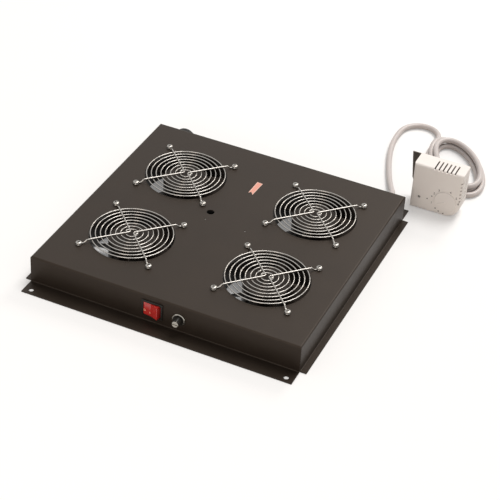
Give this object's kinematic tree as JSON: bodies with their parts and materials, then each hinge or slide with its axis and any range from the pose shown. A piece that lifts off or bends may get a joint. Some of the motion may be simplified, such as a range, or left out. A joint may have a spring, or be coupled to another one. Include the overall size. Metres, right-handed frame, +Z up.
{
  "type": "rack fan tray",
  "caption": "Folded steel tray for a server rack with guarded axial fans in its deck, a rocker switch, a panel fuse and a corded thermostat with a dial.",
  "frame": {"origin": "centre of the four flange bolts, on the plane that the flanges rest on", "axes": "+X to the tray's right seen from its switch side, +Y towards its back, where the cord leaves, +Z up through the deck"},
  "size_m": [0.4787, 0.6509, 0.0745],
  "materials": {
    "powder_coated_steel": "black powder coat, fine satin texture",
    "plated_wire": "bright plated wire",
    "plated_fasteners": "bright plated steel",
    "bearing_steel": "ground steel",
    "lamination_steel": "stacked steel sheets and windings",
    "black_fan_frame": "black painted die casting",
    "black_impeller_plastic": "matte moulded plastic",
    "black_switch_plastic": "moulded plastic, satin",
    "red_switch_plastic": "translucent red plastic, glossy",
    "brass": "nickel and bare brass",
    "fuse_glass": "clear glass with metal ends",
    "gland_polyamide": "moulded polyamide",
    "black_rubber": "moulded rubber",
    "white_polyamide": "natural polyamide",
    "black_lead_jacket": "flexible insulation",
    "light_grey_jacket": "flexible insulation, satin",
    "dark_plated_steel": "dark passivated steel",
    "cream_plastic": "fine textured moulded plastic"
  },
  "bodies": {
    "tray": {"block_screws": "plated_fasteners", "cord_boot": "black_rubber", "cord_bush": "black_rubber", "cord_coil": "light_grey_jacket", "cord_lead": "light_grey_jacket", "cord_tail": "light_grey_jacket", "earth_stud": "plated_fasteners", "fan_bearings": "bearing_steel", "fan_frame_back_left": "black_fan_frame", "fan_frame_back_right": "black_fan_frame", "fan_frame_front_left": "black_fan_frame", "fan_frame_front_right": "black_fan_frame", "fan_stators": "lamination_steel", "finger_guards": "plated_wire", "fuse_bezel_ring": "plated_fasteners", "fuse_holder_body": "black_switch_plastic", "fuse_holder_nut": "black_switch_plastic", "guard_nuts": "plated_fasteners", "guard_screws": "plated_fasteners", "inner_leads": "black_lead_jacket", "lead_clips": "white_polyamide", "mains_gland_body": "gland_polyamide", "mains_gland_dome_nut": "gland_polyamide", "mains_gland_locknut": "gland_polyamide", "mains_gland_seal": "black_rubber", "plate_screws": "plated_fasteners", "switch_housing": "black_switch_plastic", "switch_terminals": "brass", "terminal_block": "white_polyamide", "thermostat_base": "cream_plastic", "thermostat_bimetal": "brass", "thermostat_cover": "cream_plastic", "thermostat_cover_screw": "plated_fasteners", "thermostat_plate": "dark_plated_steel", "thermostat_switch": "black_switch_plastic", "tray_pan": "powder_coated_steel"},
    "rotor_front_left": {"impeller_front_left": "black_impeller_plastic", "fan_shaft_front_left": "bearing_steel"},
    "rotor_front_right": {"impeller_front_right": "black_impeller_plastic", "fan_shaft_front_right": "bearing_steel"},
    "rotor_back_left": {"impeller_back_left": "black_impeller_plastic", "fan_shaft_back_left": "bearing_steel"},
    "rotor_back_right": {"impeller_back_right": "black_impeller_plastic", "fan_shaft_back_right": "bearing_steel"},
    "rocker": {"switch_rocker": "red_switch_plastic"},
    "fuse_carrier": {"fuse_carrier": "brass", "fuse_link": "fuse_glass"},
    "fuse_cap": {"fuse_cap": "black_switch_plastic", "fuse_cap_end": "brass"},
    "dial": {"thermostat_dial": "cream_plastic", "thermostat_spindle": "bearing_steel"}
  },
  "joints": [
    {"name": "spin_front_left", "type": "hinge", "parent": "tray", "child": "rotor_front_left", "pos_m": [-0.1, -0.0815, 0.0215], "axis": [0, 0, 1], "continuous": true},
    {"name": "spin_front_right", "type": "hinge", "parent": "tray", "child": "rotor_front_right", "pos_m": [0.1, -0.0815, 0.0215], "axis": [0, 0, 1], "continuous": true},
    {"name": "spin_back_left", "type": "hinge", "parent": "tray", "child": "rotor_back_left", "pos_m": [-0.1, 0.0815, 0.0215], "axis": [0, 0, 1], "continuous": true},
    {"name": "spin_back_right", "type": "hinge", "parent": "tray", "child": "rotor_back_right", "pos_m": [0.1, 0.0815, 0.0215], "axis": [0, 0, 1], "continuous": true},
    {"name": "rocker_tilt", "type": "hinge", "parent": "tray", "child": "rocker", "pos_m": [-0.0136, -0.185, 0.0221], "axis": [0, 0, 1], "range_deg": [0, 25]},
    {"name": "fuse_slide", "type": "slide", "parent": "tray", "child": "fuse_carrier", "axis": [0, -1, 0], "range_m": [0, 0.035]},
    {"name": "fuse_cap_turn", "type": "hinge", "parent": "fuse_carrier", "child": "fuse_cap", "pos_m": [0.025, -0.19, 0.0205], "axis": [0, -1, 0], "range_deg": [0, 90]},
    {"name": "dial_turn", "type": "hinge", "parent": "tray", "child": "dial", "pos_m": [0.2423, 0.2266, 0.0239], "axis": [0, 1, 0], "range_deg": [-45, 225]}
  ]
}
